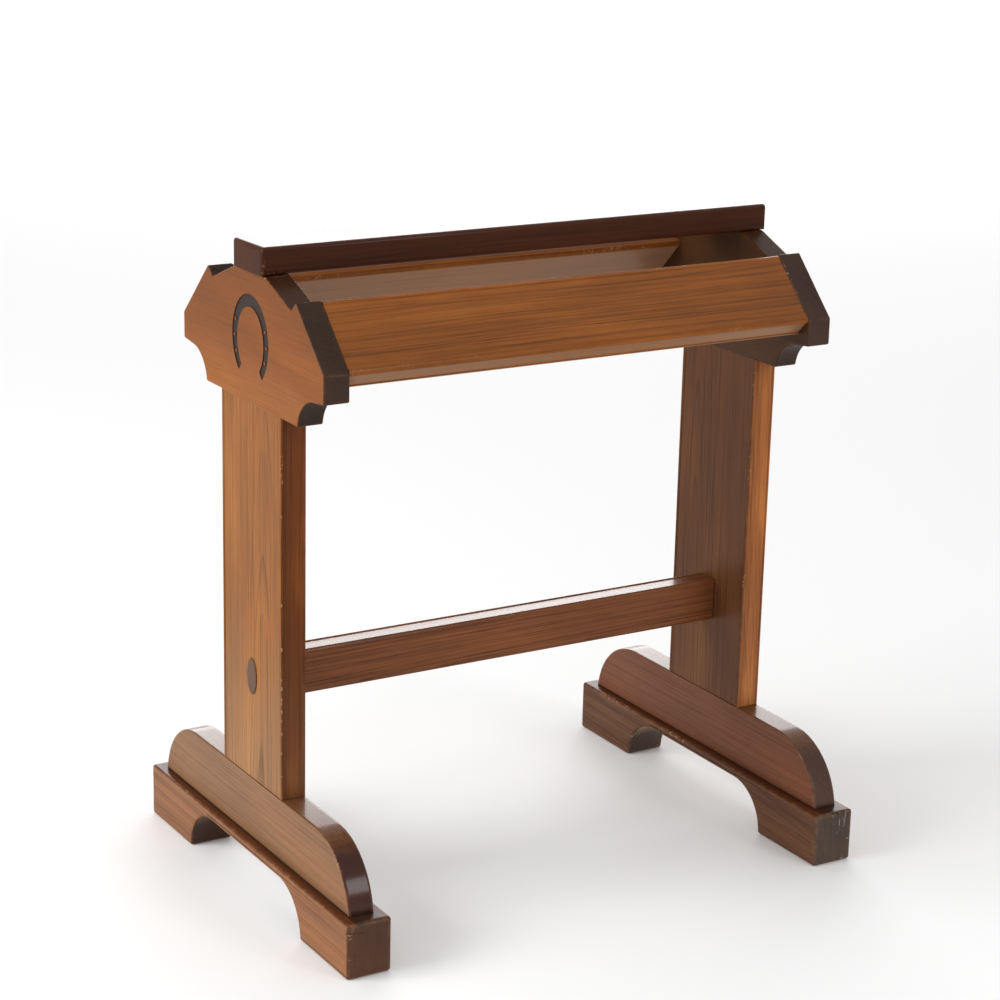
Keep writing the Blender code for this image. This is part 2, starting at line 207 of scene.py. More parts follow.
def drill(piece, across, radius, low, high):
    """Drill an upright round hole in a piece, in the middle of its thickness, down to bare wood."""
    bpy.ops.object.select_all(action="DESELECT")
    middle_x = sum(corner[0] for corner in piece.bound_box) / 8
    place = (middle_x, across, (low + high) / 2)
    bpy.ops.mesh.primitive_cylinder_add(vertices=32, radius=radius, depth=high - low, location=place)
    bit = bpy.context.object
    bit.data.materials.append(RAW_WOOD)
    cut_away(piece, bit)


# Painted shade, laid in the seams beside the cleats and in the front foot's arch
PAINTED_SHADE = (0.022, 0.011, 0.006)
# Bare wood under the feet; on the rails' lower edges the same light tone is a painted reflection
BARE_UNDERSIDE_AND_SHEEN = (0.36, 0.24, 0.15)
SCRAPED_TONE = (0.36, 0.37, 0.30)
NICKED_WOOD = (0.50, 0.33, 0.19)
BUMP_HEIGHT = 0.0004
AMBER_GLOW = 0.3
# How strongly the painted shade covers
SHADE_COVER = 0.8
HEART_WANDER = 0.016  # how far the log's heart strays over half a metre or so
HEART_SWAY = (0.0045, 0.003)  # and over a few centimetres, across the board and through it
RING_UNEVENNESS = 1.6  # in rings


class Value:
    """A shader value. Arithmetic on it adds Math nodes, and value["name"] is its node's other output."""

    def __init__(self, finish, node, output=0):
        self.finish = finish
        self.node = node
        self.socket = node.outputs[output]

    def __getitem__(self, output):
        return Value(self.finish, self.node, output)

    def math(self, operation, *values):
        return self.finish.add("ShaderNodeMath", {"operation": operation}, *values)

    def __add__(self, other):
        return self.math("ADD", self, other)

    def __radd__(self, other):
        return self.math("ADD", other, self)

    def __sub__(self, other):
        return self.math("SUBTRACT", self, other)

    def __rsub__(self, other):
        return self.math("SUBTRACT", other, self)

    def __mul__(self, other):
        return self.math("MULTIPLY", self, other)

    def __rmul__(self, other):
        return self.math("MULTIPLY", other, self)

    def __truediv__(self, other):
        return self.math("DIVIDE", self, other)

    def __pow__(self, other):
        return self.math("POWER", self, other)

    def __abs__(self):
        return self.math("ABSOLUTE", self)

    def floor(self):
        return self.math("FLOOR", self)

    def between(self, low, high):
        """0 below low and 1 above high, with a soft step."""
        settings = {"interpolation_type": "SMOOTHSTEP", "clamp": True}
        return self.finish.add("ShaderNodeMapRange", settings, self, low, high, 0.0, 1.0)


class Finish:
    """A new material, and one way of adding nodes to it."""

    def __init__(self, name):
        self.material = bpy.data.materials.new(name)
        self.material.use_nodes = True
        self.tree = self.material.node_tree
        self.shader = self.tree.nodes["Principled BSDF"]

    def add(self, kind, settings, *values, **named):
        """Add a node, make its settings first, then fill its sockets in order or by name."""
        node = self.tree.nodes.new(kind)
        for setting, value in settings.items():
            setattr(node, setting, value)
        sockets = [socket for socket in node.inputs if socket.enabled]
        chosen = list(zip(sockets, values))
        for name, value in named.items():
            chosen.append((next(s for s in sockets if s.name == name.replace("_", " ")), value))
        for socket, value in chosen:
            self.fill(socket, value)
        first = next(i for i, socket in enumerate(node.outputs) if socket.enabled)
        return Value(self, node, first)

    def fill(self, socket, value):
        if isinstance(value, Value):
            self.tree.links.new(value.socket, socket)
        elif isinstance(value, (tuple, list)) and socket.type == "RGBA":
            socket.default_value = (*value[:3], 1)
        else:
            socket.default_value = value

    def set(self, name, value):
        self.fill(self.shader.inputs[name], value)

    def blend(self, share, first, second, how="MIX"):
        """Mix two colours."""
        settings = {"data_type": "RGBA", "blend_type": how, "clamp_factor": True}
        return self.add("ShaderNodeMix", settings, share, first, second)

    def noise(self, place, stretch, detail=2.0, roughness=0.5):
        """Noise with its own number of waves per metre along each axis of the given place."""
        sized = self.add("ShaderNodeVectorMath", {"operation": "MULTIPLY"}, place, stretch)
        return self.add("ShaderNodeTexNoise", {}, Vector=sized, Scale=1.0, Detail=detail, Roughness=roughness)


def stained_pine(name, node, turn, heart, lean, ring, light, dark, amber, end_grain, inner, rim, **look):
    """Stained and varnished pine, sawn from a log whose heart lies off the board by the given distances.

    The place is measured from the board's middle with its length turned to Z, so the end grain shows
    the rings, the faces show them as stripes, and a lean brings out long pointed arches. The faces
    that look inward along the rack are darkened as painted shade, the narrow faces round the rim take
    a tone that is partly stain and partly painted shade (painted light on the rear upright), and the low
    part of the board is given its own tone. Seams and arches can be darkened as painted shade, undersides
    given a bare tone that is a painted reflection on the rails' lower edges, and rubbed edges lightened
    partly as wear and partly as a painted highlight. The varnish lies thicker on the level faces and the end
    grain.
    """
    low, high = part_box(node)
    middle = tuple((low + high) / 2)
    finish = Finish(name)
    here = finish.add("ShaderNodeTexCoord", {})["Object"]
    centred = finish.add("ShaderNodeVectorMath", {"operation": "SUBTRACT"}, here, middle)
    place = finish.add("ShaderNodeMapping", {}, Vector=centred, Rotation=turn)
    split = finish.add("ShaderNodeSeparateXYZ", {}, place)

    # Growth rings, each turning darker towards its late wood
    wander = finish.noise(place, (5, 5, 1.6), detail=1.0)
    sway = finish.noise(place, (21, 21, 4.0), detail=1.0)
    across = split["X"] - heart[0] + split["Z"] * lean[0] + (wander - 0.5) * HEART_WANDER
    across += (sway - 0.5) * HEART_SWAY[0]
    through = split["Y"] - heart[1] + split["Z"] * lean[1] + (sway - 0.5) * HEART_SWAY[1]
    reach = (across * across + through * through) ** 0.5
    uneven = finish.add("ShaderNodeTexNoise", {"noise_dimensions": "1D"}, W=reach * 90, Scale=1.0, Detail=1.0)
    count = reach / ring + (uneven - 0.5) * RING_UNEVENNESS
    number = count.floor()
    phase = count - number
    chance = finish.add("ShaderNodeTexWhiteNoise", {"noise_dimensions": "1D"}, number)
    late = phase**3.2 * (1 - phase.between(0.86, 1.0)) * (0.35 + 0.80 * chance)

    # Fibres, streaks and flecks along the grain, and broader clouds of stain
    fibre = finish.noise(place, (520, 520, 8), detail=4.0, roughness=0.7)
    streak = finish.noise(place, (260, 260, 2.2), detail=3.0, roughness=0.65).between(0.38, 0.70)
    cloud = finish.noise(place, (12, 12, 4), detail=4.0, roughness=0.6)
    glow = finish.noise(place, (20, 20, 4.5), detail=2.0).between(0.50, 0.74)
    fleck = finish.noise(place, (480, 480, 45), detail=1.0).between(0.64, 0.74)
    contrast = look.get("contrast", 1.0)
    depth = (late * 0.70 + streak * 0.50 - 0.06) * contrast + (fibre - 0.5) * 1.5 + fleck * 0.18

    # The tones of the faces, by where they look and how low they lie
    facing = finish.add("ShaderNodeNewGeometry", {})["Normal"]
    looks = finish.add("ShaderNodeSeparateXYZ", {}, facing)
    on_rim = 1 - (looks["X"] * looks["X"]).between(0.25, 0.85)
    colour = finish.blend(depth, light, dark)
    glowing = glow * (AMBER_GLOW + look.get("rim_glow", 0.0) * on_rim) * (1 - depth)
    colour = finish.blend(glowing, colour, amber)
    # The inward faces are darkened as painted shade, and the rim faces take a tone that is partly stain and
    # partly painted shade.
    inward = (looks["X"] * look.get("inward", 0.0)).between(0.3, 0.9)
    colour = finish.blend(inward, colour, finish.blend(1.0, colour, inner, "MULTIPLY"))
    colour = finish.blend(on_rim, colour, finish.blend(1.0, colour, rim, "MULTIPLY"))
    spot = finish.add("ShaderNodeSeparateXYZ", {}, here)
    down_low = 1 - (spot["Z"] + (cloud - 0.5) * 0.2).between(low.z, (low.z + high.z) / 2)
    low_tone = look.get("low_tone", (1, 1, 1))
    colour = finish.blend(down_low, colour, finish.blend(1.0, colour, low_tone, "MULTIPLY"))
    clouded = look.get("clouded", 0.7)
    shade = finish.add("ShaderNodeCombineColor", {}, *[1 - clouded / 2 + clouded * cloud] * 3)
    colour = finish.blend(1.0, colour, shade, "MULTIPLY")

    # Sawn ends, which show the rings and the saw's marks
    turned = finish.add("ShaderNodeMapping", {}, Vector=facing, Rotation=turn)
    length_wise = finish.add("ShaderNodeSeparateXYZ", {}, turned)["Z"]
    sawn_end = (length_wise * length_wise).between(0.06, 0.42)
    saw_marks = finish.noise(here, (420, 420, 14), detail=2.0)
    rings_at_end = 0.35 + 0.35 * late - 0.7 * (saw_marks - 0.5) - 1.6 * (cloud - 0.5)
    end_late_wood = [channel * 0.4 for channel in end_grain]
    end_colour = finish.blend(rings_at_end, end_grain, end_late_wood)
    colour = finish.blend(sawn_end, colour, end_colour)

    # Bare undersides and a painted reflection on the rails' lower edges, painted shade in seams and the arch,
    # rubbed edges that are partly a painted highlight, nicks and scrapes
    underneath = (-1 * looks["Z"]).between(0.5, 0.9)
    colour = finish.blend(underneath * look.get("bare_below", 0.0), colour, BARE_UNDERSIDE_AND_SHEEN)
    level = looks["Z"].between(0.05, 0.85)
    if "grime" in look:
        colour = finish.blend(SHADE_COVER * look["grime"](spot, level, on_rim), colour, PAINTED_SHADE)
    rub = finish.noise(here, (60, 60, 60), detail=4.0, roughness=0.65)
    edge = finish.add("ShaderNodeAttribute", {"attribute_name": "edge_nearness"})["Fac"]
    scuffs = look.get("scuffs", 0.5)
    # Rubbed edges are lightened, partly as wear and partly as a painted highlight of the rounded edges.
    rubbed_and_highlit = edge * rub.between(0.40, 0.66)
    rubbed_highlight_tone = [min(1, channel * 1.9 + 0.02) for channel in light]
    colour = finish.blend(rubbed_and_highlit * 0.25 * scuffs, colour, rubbed_highlight_tone)
    nicks = finish.noise(here, (260, 260, 260), detail=2.0)
    where = finish.noise(here, (10, 10, 10), detail=2.0).between(0.54, 0.64)
    nick = edge * nicks.between(0.58, 0.66) * where * scuffs
    scrape = finish.noise(here, (70, 70, 22), detail=5.0, roughness=0.7).between(0.60, 0.72)
    scraped = scrape * sawn_end * look.get("scraped", 0.12)
    colour = finish.blend(scraped, colour, SCRAPED_TONE)
    colour = finish.blend(nick, colour, NICKED_WOOD)

    # Varnish, and the slight relief of the grain
    gloss = look.get("gloss", 0.5)
    finish.set("Base Color", colour)
    finish.set("Roughness", 0.40 + 0.16 * cloud + 0.20 * scraped + 0.25 * nick)
    finish.set("IOR", 1.5)
    finish.set("Specular IOR Level", 0.08)
    varnish = gloss * (0.30 + 0.70 * level) * (1 - sawn_end) + look.get("end_gloss", 0.25) * sawn_end
    finish.set("Coat Weight", varnish * (1 - 0.8 * nick))
    finish.set("Coat Roughness", 0.17)
    relief = late * 0.5 + fibre * 0.35 - nick * 2.0 + (cloud - 0.5) * 0.6
    bump = finish.add("ShaderNodeBump", {}, Strength=0.35, Distance=BUMP_HEIGHT, Height=relief)
    finish.set("Normal", bump)
    return finish.material


def finish_piece(piece, material, slot, *nodes):
    """Give a piece its finish, smooth its rounded edges, and let it stand for its nodes."""
    if piece.data.materials:
        piece.data.materials[0] = material
    else:
        piece.data.materials.append(material)
    bpy.ops.object.select_all(action="DESELECT")
    piece.select_set(True)
    bpy.context.view_layer.objects.active = piece
    bpy.ops.object.shade_smooth_by_angle(angle=SMOOTH_UNDER)
    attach(piece, "root")
    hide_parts(*nodes)


def middle_of(node):
    low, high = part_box(node)
    return tuple((low + high) / 2)


def raw_wood(name, colour):
    """Unfinished wood inside a drilled hole or a chip."""
    finish = Finish(name)
    here = finish.add("ShaderNodeTexCoord", {})["Object"]
    fibre = finish.noise(here, (500, 500, 500), detail=3.0)
    finish.set("Base Color", finish.blend(fibre, colour, [c * 0.5 for c in colour]))
    finish.set("Roughness", 0.7 + 0.2 * fibre)
    return finish.material


RAW_WOOD = raw_wood("bare pine in the holes", (0.32, 0.19, 0.095))

FOOT_END = {"front": (0.105, 0.040, 0.020), "rear": (0.090, 0.057, 0.039)}  # end grain
FOOT_SCRAPES = {"front": 0.10, "rear": 0.60}
FOOT_LOGS = (("front", (-0.09, 0.045), (0.02, 0.03)), ("rear", (0.11, -0.06), (-0.03, 0.02)))  # heart, lean
FOOT_CHIP_STRETCH = (1.8, 1, 0.8)
FOOT_CHIPS = {  # along X from the foot's -X face, height, and radius, on the foot's -Y end
    "front": ((0.002, 0.0655, 0.003), (0.0045, 0.0600, 0.002), (0.0035, 0.030, 0.0014)),
    "rear": ((0.028, 0.001, 0.0028), (0.039, 0.002, 0.0022), (0.052, 0.004, 0.0025), (0.060, 0.034, 0.002)),
}
CRACK_TILT = math.radians(-5)
CRACK_DROP = 0.0125  # below the foot's top
CRACK_LENGTH = 0.026
CRACK_DEPTH = 0.005
CRACK_WIDTH = 0.0015
CLEAT_HALF_WIDTH = 0.019
# Width of the painted shade along the seam, and its strength in the arch
SEAM_SHADE_WIDTH = 0.003
ARCH_SHADE = {"front": 0.75, "rear": 0.0}
ARCH_FADE = 0.001


def shade_on_a_foot(middle_x, arch_end, arch_shade):
    """Painted shade in the seam beside the cleat and in the arch."""

    def seam_and_arch_shade(spot, level, on_rim):
        off_middle = abs(spot["X"] - middle_x)
        by_the_cleat = level * (1 - off_middle.between(CLEAT_HALF_WIDTH, CLEAT_HALF_WIDTH + SEAM_SHADE_WIDTH))
        below_arch_top = 1 - spot["Z"].between(ARCH_RADIUS, ARCH_RADIUS + ARCH_FADE)
        in_arch = on_rim * below_arch_top * (1 - abs(spot["Y"]).between(arch_end, arch_end + ARCH_FADE))
        return by_the_cleat + in_arch * arch_shade

    return seam_and_arch_shade


for end, heart, lean in FOOT_LOGS:
    node = end + "_foot"
    low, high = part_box(node)
    half = high.y
    arch_end = half - PAD_LENGTH
    arch_middle = arch_end - ARCH_RADIUS
    arch = arc((arch_middle, 0), ARCH_RADIUS, math.pi / 2, 0)
    foot = traced_board(node + "_beam", mirrored(arch + [(half, 0), (half, high.z)]), low.x, high.x)
    round_edges(foot, FOOT_EDGE)
    pine = stained_pine(
        end + " foot pine", node, ALONG_Y, heart, lean, 0.0032,
        light=(0.262, 0.115, 0.051), dark=(0.118, 0.047, 0.021), amber=(0.300, 0.112, 0.038),
        end_grain=FOOT_END[end], inner=(0.48, 0.49, 0.56), rim=(0.40, 0.25, 0.14), bare_below=0.8,
        inward=INWARD[end], scuffs=0.5, scraped=FOOT_SCRAPES[end], gloss=0.20,
        grime=shade_on_a_foot(middle_of(node)[0], arch_end, ARCH_SHADE[end]),
    )
    foot.data.materials.append(pine)
    for side in ("left", "right"):
        screw_y = middle_of(f"{end}_{side}_foot_screw")[1]
        lag_y = middle_of(f"{end}_{side}_lag_screw")[1]
        drill(foot, screw_y, COUNTERBORE_RADIUS, -CLEARANCE, SCREW_SEAT_HEIGHT)
        drill(foot, lag_y, LAG_HOLE_RADIUS, SCREW_SEAT_HEIGHT, high.z + CLEARANCE)
    for along, up, size in FOOT_CHIPS[end]:
        chip(foot, (low.x + along, low.y - size * CHIP_SUNK, up), size, FOOT_CHIP_STRETCH)
    if end == "front":
        outside = (low.x - CLEARANCE, low.y - CLEARANCE, 0)
        crack = sawn_board("crack", outside, (low.x + CRACK_LENGTH, low.y + CRACK_DEPTH, CRACK_WIDTH))
        start_editing(crack)
        bpy.ops.mesh.select_all(action="SELECT")
        bpy.ops.transform.rotate(value=CRACK_TILT, orient_axis="Y", center_override=(low.x, low.y, 0))
        bpy.ops.transform.translate(value=(0, 0, high.z - CRACK_DROP))
        stop_editing(crack)
        crack.data.materials.append(RAW_WOOD)
        cut_away(foot, crack)
    finish_piece(foot, pine, "foot", node)

# ---------------------------------------------------------------------------------------------------
# Cleats. A board on edge along the middle of each foot, 38 mm thick, with a big round-over at each
# end that bares the end grain. It is glued to the foot and held by the screws that come up through it.
# ---------------------------------------------------------------------------------------------------

CLEAT_ROUND = 0.102
CLEAT_EDGE = 0.003
UPRIGHT_EDGE = 0.003


def square_seat(piece, upright, low_z, high_z):
    """Leave a piece square where an upright meets it, by filling its rounding with the upright's section."""
    low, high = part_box(upright)
    seat = sawn_board("seat", (low.x, low.y, low_z), (high.x, high.y, high_z))
    start_editing(seat)
    bpy.ops.mesh.select_mode(type="EDGE")
    shape = bmesh.from_edit_mesh(seat.data)
    for edge in shape.edges:
        edge.select = abs(edge.verts[0].co.z - edge.verts[1].co.z) > 1e-4
    bmesh.update_edit_mesh(seat.data)
    bpy.ops.mesh.bevel(offset=UPRIGHT_EDGE, segments=EDGE_STEPS, affect="EDGES")
    stop_editing(seat)
    seat.data.materials.append(piece.data.materials[0])
    join_on(piece, seat)


CLEAT_LOGS = (("front", (0.05, -0.10), (0.015, 0.02)), ("rear", (-0.07, 0.09), (0.02, -0.02)))
CLEAT_END = {"front": (0.056, 0.010, 0.004), "rear": (0.080, 0.032, 0.020)}  # end grain

for end, heart, lean in CLEAT_LOGS:
    node = end + "_cleat"
    low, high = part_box(node)
    height = high.z - low.z
    start = math.asin((CLEAT_ROUND - height) / CLEAT_ROUND)
    round_middle = (high.y - CLEAT_ROUND * math.cos(start), high.z - CLEAT_ROUND)
    outline = mirrored(arc(round_middle, CLEAT_ROUND, start, math.pi / 2))
    cleat = traced_board(node + "_board", outline, low.x, high.x)
    round_edges(cleat, CLEAT_EDGE, lambda middle: middle.z > low.z + CLEAT_EDGE / 2)
    pine = stained_pine(
        end + " cleat pine", node, ALONG_Y, heart, lean, 0.0030,
        light=(0.242, 0.121, 0.058), dark=(0.119, 0.056, 0.027), amber=(0.290, 0.119, 0.046),
        end_grain=CLEAT_END[end], inner=(0.72, 0.53, 0.54), rim=(0.60, 0.46, 0.36), inward=INWARD[end],
        scuffs=0.45, gloss=0.38, end_gloss=0.50,
        # Painted shade along the seam at the cleat's foot
        grime=lambda spot, level, on_rim: 1 - spot["Z"].between(low.z, low.z + SEAM_SHADE_WIDTH),
    )
    cleat.data.materials.append(pine)
    square_seat(cleat, end + "_upright", high.z - 2 * CLEAT_EDGE, high.z)
    finish_piece(cleat, pine, "cleat", node)

# ---------------------------------------------------------------------------------------------------
# Uprights. A wide board stands on the middle of each cleat, with its long edges rounded and its ends
# square. The stretcher's tenon comes through an oval mortise in it.
# ---------------------------------------------------------------------------------------------------

TENON_WIDTH = 0.028
TENON_HEIGHT = 0.052
# The front upright's narrow faces are darkened as painted shade, and the rear upright's are lightened as
# painted light.
SIDE_LIGHT_AND_SHADE = {"front": (0.56, 0.41, 0.36), "rear": (1.38, 1.28, 1.65)}  # of an upright's narrow faces
LOW_TONE = {"front": (1.12, 1.50, 2.70), "rear": (1.05, 1.12, 1.25)}
EDGE_CHIPS = (  # height and radius, down the outer -Y edge of the front upright
    (0.576, 0.0016), (0.452, 0.0022), (0.389, 0.0026), (0.345, 0.0018), (0.333, 0.0027), (0.317, 0.0024),
    (0.311, 0.0020), (0.299, 0.0028), (0.286, 0.0017), (0.267, 0.0024), (0.239, 0.0020), (0.205, 0.0015),
)
EDGE_CHIP_STRETCH = (1, 1, 1.7)


def tenon_bar(name, gap):
    """An oval bar through the whole rack, at the stretcher's middle."""
    low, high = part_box("stretcher")
    middle_z = (low.z + high.z) / 2
    oval = []
    for across, up in arc((0, 0), 1, 0, 2 * math.pi)[:-1]:
        oval.append((across * (TENON_WIDTH / 2 + gap), middle_z + up * (TENON_HEIGHT / 2 + gap)))
    more = 2 * CLEARANCE if gap else 0
    return traced_board(name, oval, low.x - more, high.x + more)


UPRIGHT_HEARTS = (  # heart and lean of each log
    ("front", (0.0562, -0.0315), (-0.024, 0.01)),
    ("rear", (-0.06, 0.045), (0.02, -0.03)),
)

for end, heart, lean in UPRIGHT_HEARTS:
    node = end + "_upright"
    low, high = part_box(node)
    middle_z = (low.z + high.z) / 2
    upright = sawn_board(node + "_board", low, high)
    round_edges(upright, UPRIGHT_EDGE, lambda middle: abs(middle.z - middle_z) < END_ZONE)
    pine = stained_pine(
        end + " upright pine", node, ALONG_Z, heart, lean, 0.0042,
        light=(0.262, 0.096, 0.022), dark=(0.106, 0.037, 0.008), amber=(0.36, 0.140, 0.026),
        end_grain=(0.05, 0.02, 0.01), inner=(0.53, 0.54, 0.86), rim=SIDE_LIGHT_AND_SHADE[end],
        inward=INWARD[end], low_tone=LOW_TONE[end], scuffs=0.7, gloss=0.26, rim_glow=0.9, clouded=0.9,
    )
    upright.data.materials.append(pine)
    cut_away(upright, tenon_bar("mortise", FIT))
    if end == "front":
        for height, radius in EDGE_CHIPS:
            inset = UPRIGHT_EDGE * 0.3 - radius * CHIP_SUNK
            chip(upright, (low.x + inset, low.y + inset, height), radius, EDGE_CHIP_STRETCH)
    finish_piece(upright, pine, "upright", node)

# ---------------------------------------------------------------------------------------------------
# Stretcher. A rail on edge between the uprights, low down. Each end is shouldered to an oval tenon,
# glued in its mortise and planed flush, so its end grain shows outside.
# ---------------------------------------------------------------------------------------------------

STRETCHER_WIDTH = 0.038
STRETCHER_EDGE = 0.004

low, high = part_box("stretcher")
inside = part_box("front_upright")[1].x + FIT
half = STRETCHER_WIDTH / 2
stretcher = sawn_board("stretcher_rail", (inside, -half, low.z), (-inside, half, high.z))
round_edges(stretcher, STRETCHER_EDGE, lambda middle: abs(middle.x) < END_ZONE)
pine = stained_pine(
    "stretcher pine", "stretcher", ALONG_X, (0.075, 0.03), (0.012, 0.02), 0.0046,
    light=(0.208, 0.069, 0.024), dark=(0.068, 0.021, 0.0075), amber=(0.280, 0.090, 0.024),
    end_grain=(0.125, 0.066, 0.037), inner=(1, 1, 1), rim=(1, 1, 1), scuffs=0.3, gloss=0.5, end_gloss=0.12,
    contrast=1.3,
)
stretcher.data.materials.append(pine)
tenons = tenon_bar("tenons", 0)
tenons.data.materials.append(pine)
join_on(stretcher, tenons)
finish_piece(stretcher, pine, "stretcher", "stretcher")

# ---------------------------------------------------------------------------------------------------
# Heads. The shaped board on each upright, with its grain across the rack: a cove on each side, a short
# cheek, the shoulder that a side rail lies along, and a flat for the ridge bar. The front one carries
# a horseshoe burnt into its outer face, for decoration.
# ---------------------------------------------------------------------------------------------------

COVE_RADIUS = 0.049
COVE_DROP = 0.006
LIP_LENGTH = 0.0255
LIP_RISE = 0.003
CHEEK_HEIGHT = 0.038
RAIL_WIDTH = 0.114
NOTCH_DEPTH = 0.019
RIDGE_HALF_WIDTH = 0.0445
HEAD_EDGE = 0.0025
SLOPE = math.radians(45)
SHOE_MIDDLE = 0.798
SHOE_HALF_WIDTH = 0.055
SHOE_HALF_HEIGHT = 0.062
SHOE_BAND = 0.017
SHOE_DEPTH = 0.0012
SHOE_BACK = 0.002  # how far its cutter stands out of the board
SHOE_STEPS = 60
HEEL_TURN = math.radians(40)  # from straight down to each heel
NAIL_TURNS = (25, 48, 71)  # degrees round from the heels to the nail holes of one branch
NAIL_HOLE_RADIUS = 0.0022


def head_outline(base, top):
    lower = Vector((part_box("front_head")[1].y, base + COVE_RADIUS - COVE_DROP + LIP_RISE + CHEEK_HEIGHT))
    up_slope = Vector((-math.cos(SLOPE), math.sin(SLOPE)))
    inward = Vector((-math.sin(SLOPE), -math.cos(SLOPE)))
    upper = lower + RAIL_WIDTH * up_slope
    notch = upper + NOTCH_DEPTH * inward
    cove_middle = (lower.x - LIP_LENGTH, base - COVE_DROP)
    cove = arc(cove_middle, COVE_RADIUS, math.pi - math.asin(COVE_DROP / COVE_RADIUS), math.pi / 2)
    lip = (lower.x, lower.y - CHEEK_HEIGHT)
    return mirrored(cove + [lip, tuple(lower), tuple(upper), tuple(notch), (RIDGE_HALF_WIDTH, top)])


def horseshoe(outer_x, charred):
    """A cutter for the burnt horseshoe: an open band that narrows to its heels."""
    def on_shoe(angle, inset):
        across = (SHOE_HALF_WIDTH - inset) * math.cos(angle)
        return across, SHOE_MIDDLE + (SHOE_HALF_HEIGHT - inset) * math.sin(angle)

    outer, inner = [], []
    for i in range(SHOE_STEPS + 1):
        share = i / SHOE_STEPS
        angle = -math.pi / 2 + HEEL_TURN + (2 * math.pi - 2 * HEEL_TURN) * share
        outer.append(on_shoe(angle, 0))
        inner.append(on_shoe(angle, SHOE_BAND * (0.75 + 0.25 * math.sin(math.pi * share))))
    shoe = traced_board("horseshoe", outer + inner[::-1], outer_x - SHOE_BACK, outer_x + SHOE_DEPTH)
    shoe.data.materials.append(charred)
    for turn in NAIL_TURNS:
        for side in (-1, 1):
            angle = -math.pi / 2 + side * (HEEL_TURN + math.radians(turn))
            across, up = on_shoe(angle, SHOE_BAND * 0.42)
            bpy.ops.object.select_all(action="DESELECT")
            bpy.ops.mesh.primitive_cylinder_add(
                vertices=16, radius=NAIL_HOLE_RADIUS, depth=0.02,
                location=(outer_x, across, up), rotation=(0, math.pi / 2, 0),
            )
            peg = bpy.context.object
            peg.data.materials.append(charred)
            cut_away(shoe, peg)
    return shoe


def charred_wood():
    """The bottom of the burnt mark: black brown, rough and a little uneven."""
    finish = Finish("charred pine")
    here = finish.add("ShaderNodeTexCoord", {})["Object"]
    grain = finish.noise(here, (40, 30, 400), detail=3.0)
    finish.set("Base Color", finish.blend(grain, (0.010, 0.007, 0.006), (0.040, 0.022, 0.014)))
    finish.set("Roughness", 0.45 + 0.3 * grain)
    finish.set("Specular IOR Level", 0.2)
    finish.set("Normal", finish.add("ShaderNodeBump", {}, Strength=0.5, Distance=0.0005, Height=grain))
    return finish.material


HEAD_LOGS = (("front", (-0.060, 0.16), (0.02, -0.05)), ("rear", (0.07, -0.12), (-0.02, 0.04)))
HEAD_END = {"front": (0.050, 0.026, 0.0155), "rear": (0.064, 0.032, 0.022)}  # end grain

for end, heart, lean in HEAD_LOGS:
    node = end + "_head"
    low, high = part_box(node)
    head = traced_board(node + "_board", head_outline(low.z, high.z), low.x, high.x)
    round_edges(head, HEAD_EDGE)
    # The head's inner face and the faces round its outline are darkened as painted shade.
    pine = stained_pine(
        end + " head pine", node, ALONG_Y, heart, lean, 0.0055,
        light=(0.176, 0.054, 0.0105), dark=(0.106, 0.031, 0.0062), amber=(0.235, 0.077, 0.013),
        end_grain=HEAD_END[end], inner=(0.30, 0.38, 0.60), rim=(0.26, 0.28, 0.40), contrast=0.45, clouded=0.9,
        inward=INWARD[end], low_tone=(1.50, 1.60, 1.75), scuffs=0.4, scraped=0, gloss=0.22, end_gloss=0.14,
    )
    head.data.materials.append(pine)
    square_seat(head, end + "_upright", low.z, low.z + 2 * HEAD_EDGE)
    if end == "front":
        cut_away(head, horseshoe(low.x, charred_wood()))
    finish_piece(head, pine, "head", node)

# ---------------------------------------------------------------------------------------------------
# Side rails. A board on each sloping shoulder, between the heads, with its long edges well rounded
# where the saddle slides on and off. Two dowels hold each end.
# ---------------------------------------------------------------------------------------------------

RAIL_THICKNESS = 0.038
RAIL_EDGE = 0.006

for side, sign, heart in (("left", -1, (-0.16, -0.02)), ("right", 1, (-0.15, 0.03))):
    node = side + "_rail"
    low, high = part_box(node)
    middle = (low + high) / 2
    reach = Vector(((high.x - low.x) / 2, RAIL_WIDTH / 2, RAIL_THICKNESS / 2))
    rail = sawn_board(node + "_board", middle - reach, middle + reach)
    round_edges(rail, RAIL_EDGE, lambda place: abs(place.x) < END_ZONE)
    start_editing(rail)
    bpy.ops.mesh.select_all(action="SELECT")
    bpy.ops.transform.rotate(value=sign * SLOPE, orient_axis="X", center_override=middle)
    stop_editing(rail)
    # The underside tone along the rail's lower edge is a painted reflection.
    pine = stained_pine(
        node + " pine", node, ALONG_X, heart, (0.012, 0.01), 0.0045,
        light=(0.255, 0.074, 0.0095), dark=(0.076, 0.022, 0.0040), amber=(0.345, 0.110, 0.013),
        end_grain=(0.05, 0.02, 0.01), inner=(1, 1, 1), rim=(1, 1, 1), bare_below=0.8, scuffs=0.5, gloss=0.36,
    )
    finish_piece(rail, pine, "rail", node)

# ---------------------------------------------------------------------------------------------------
# Ridge bar. The bar that lies flat on top of both heads and carries the middle of the saddle. It is
# the darkest piece, with well rounded edges, except where its ends meet the heads.
# ---------------------------------------------------------------------------------------------------

RIDGE_EDGE = 0.005

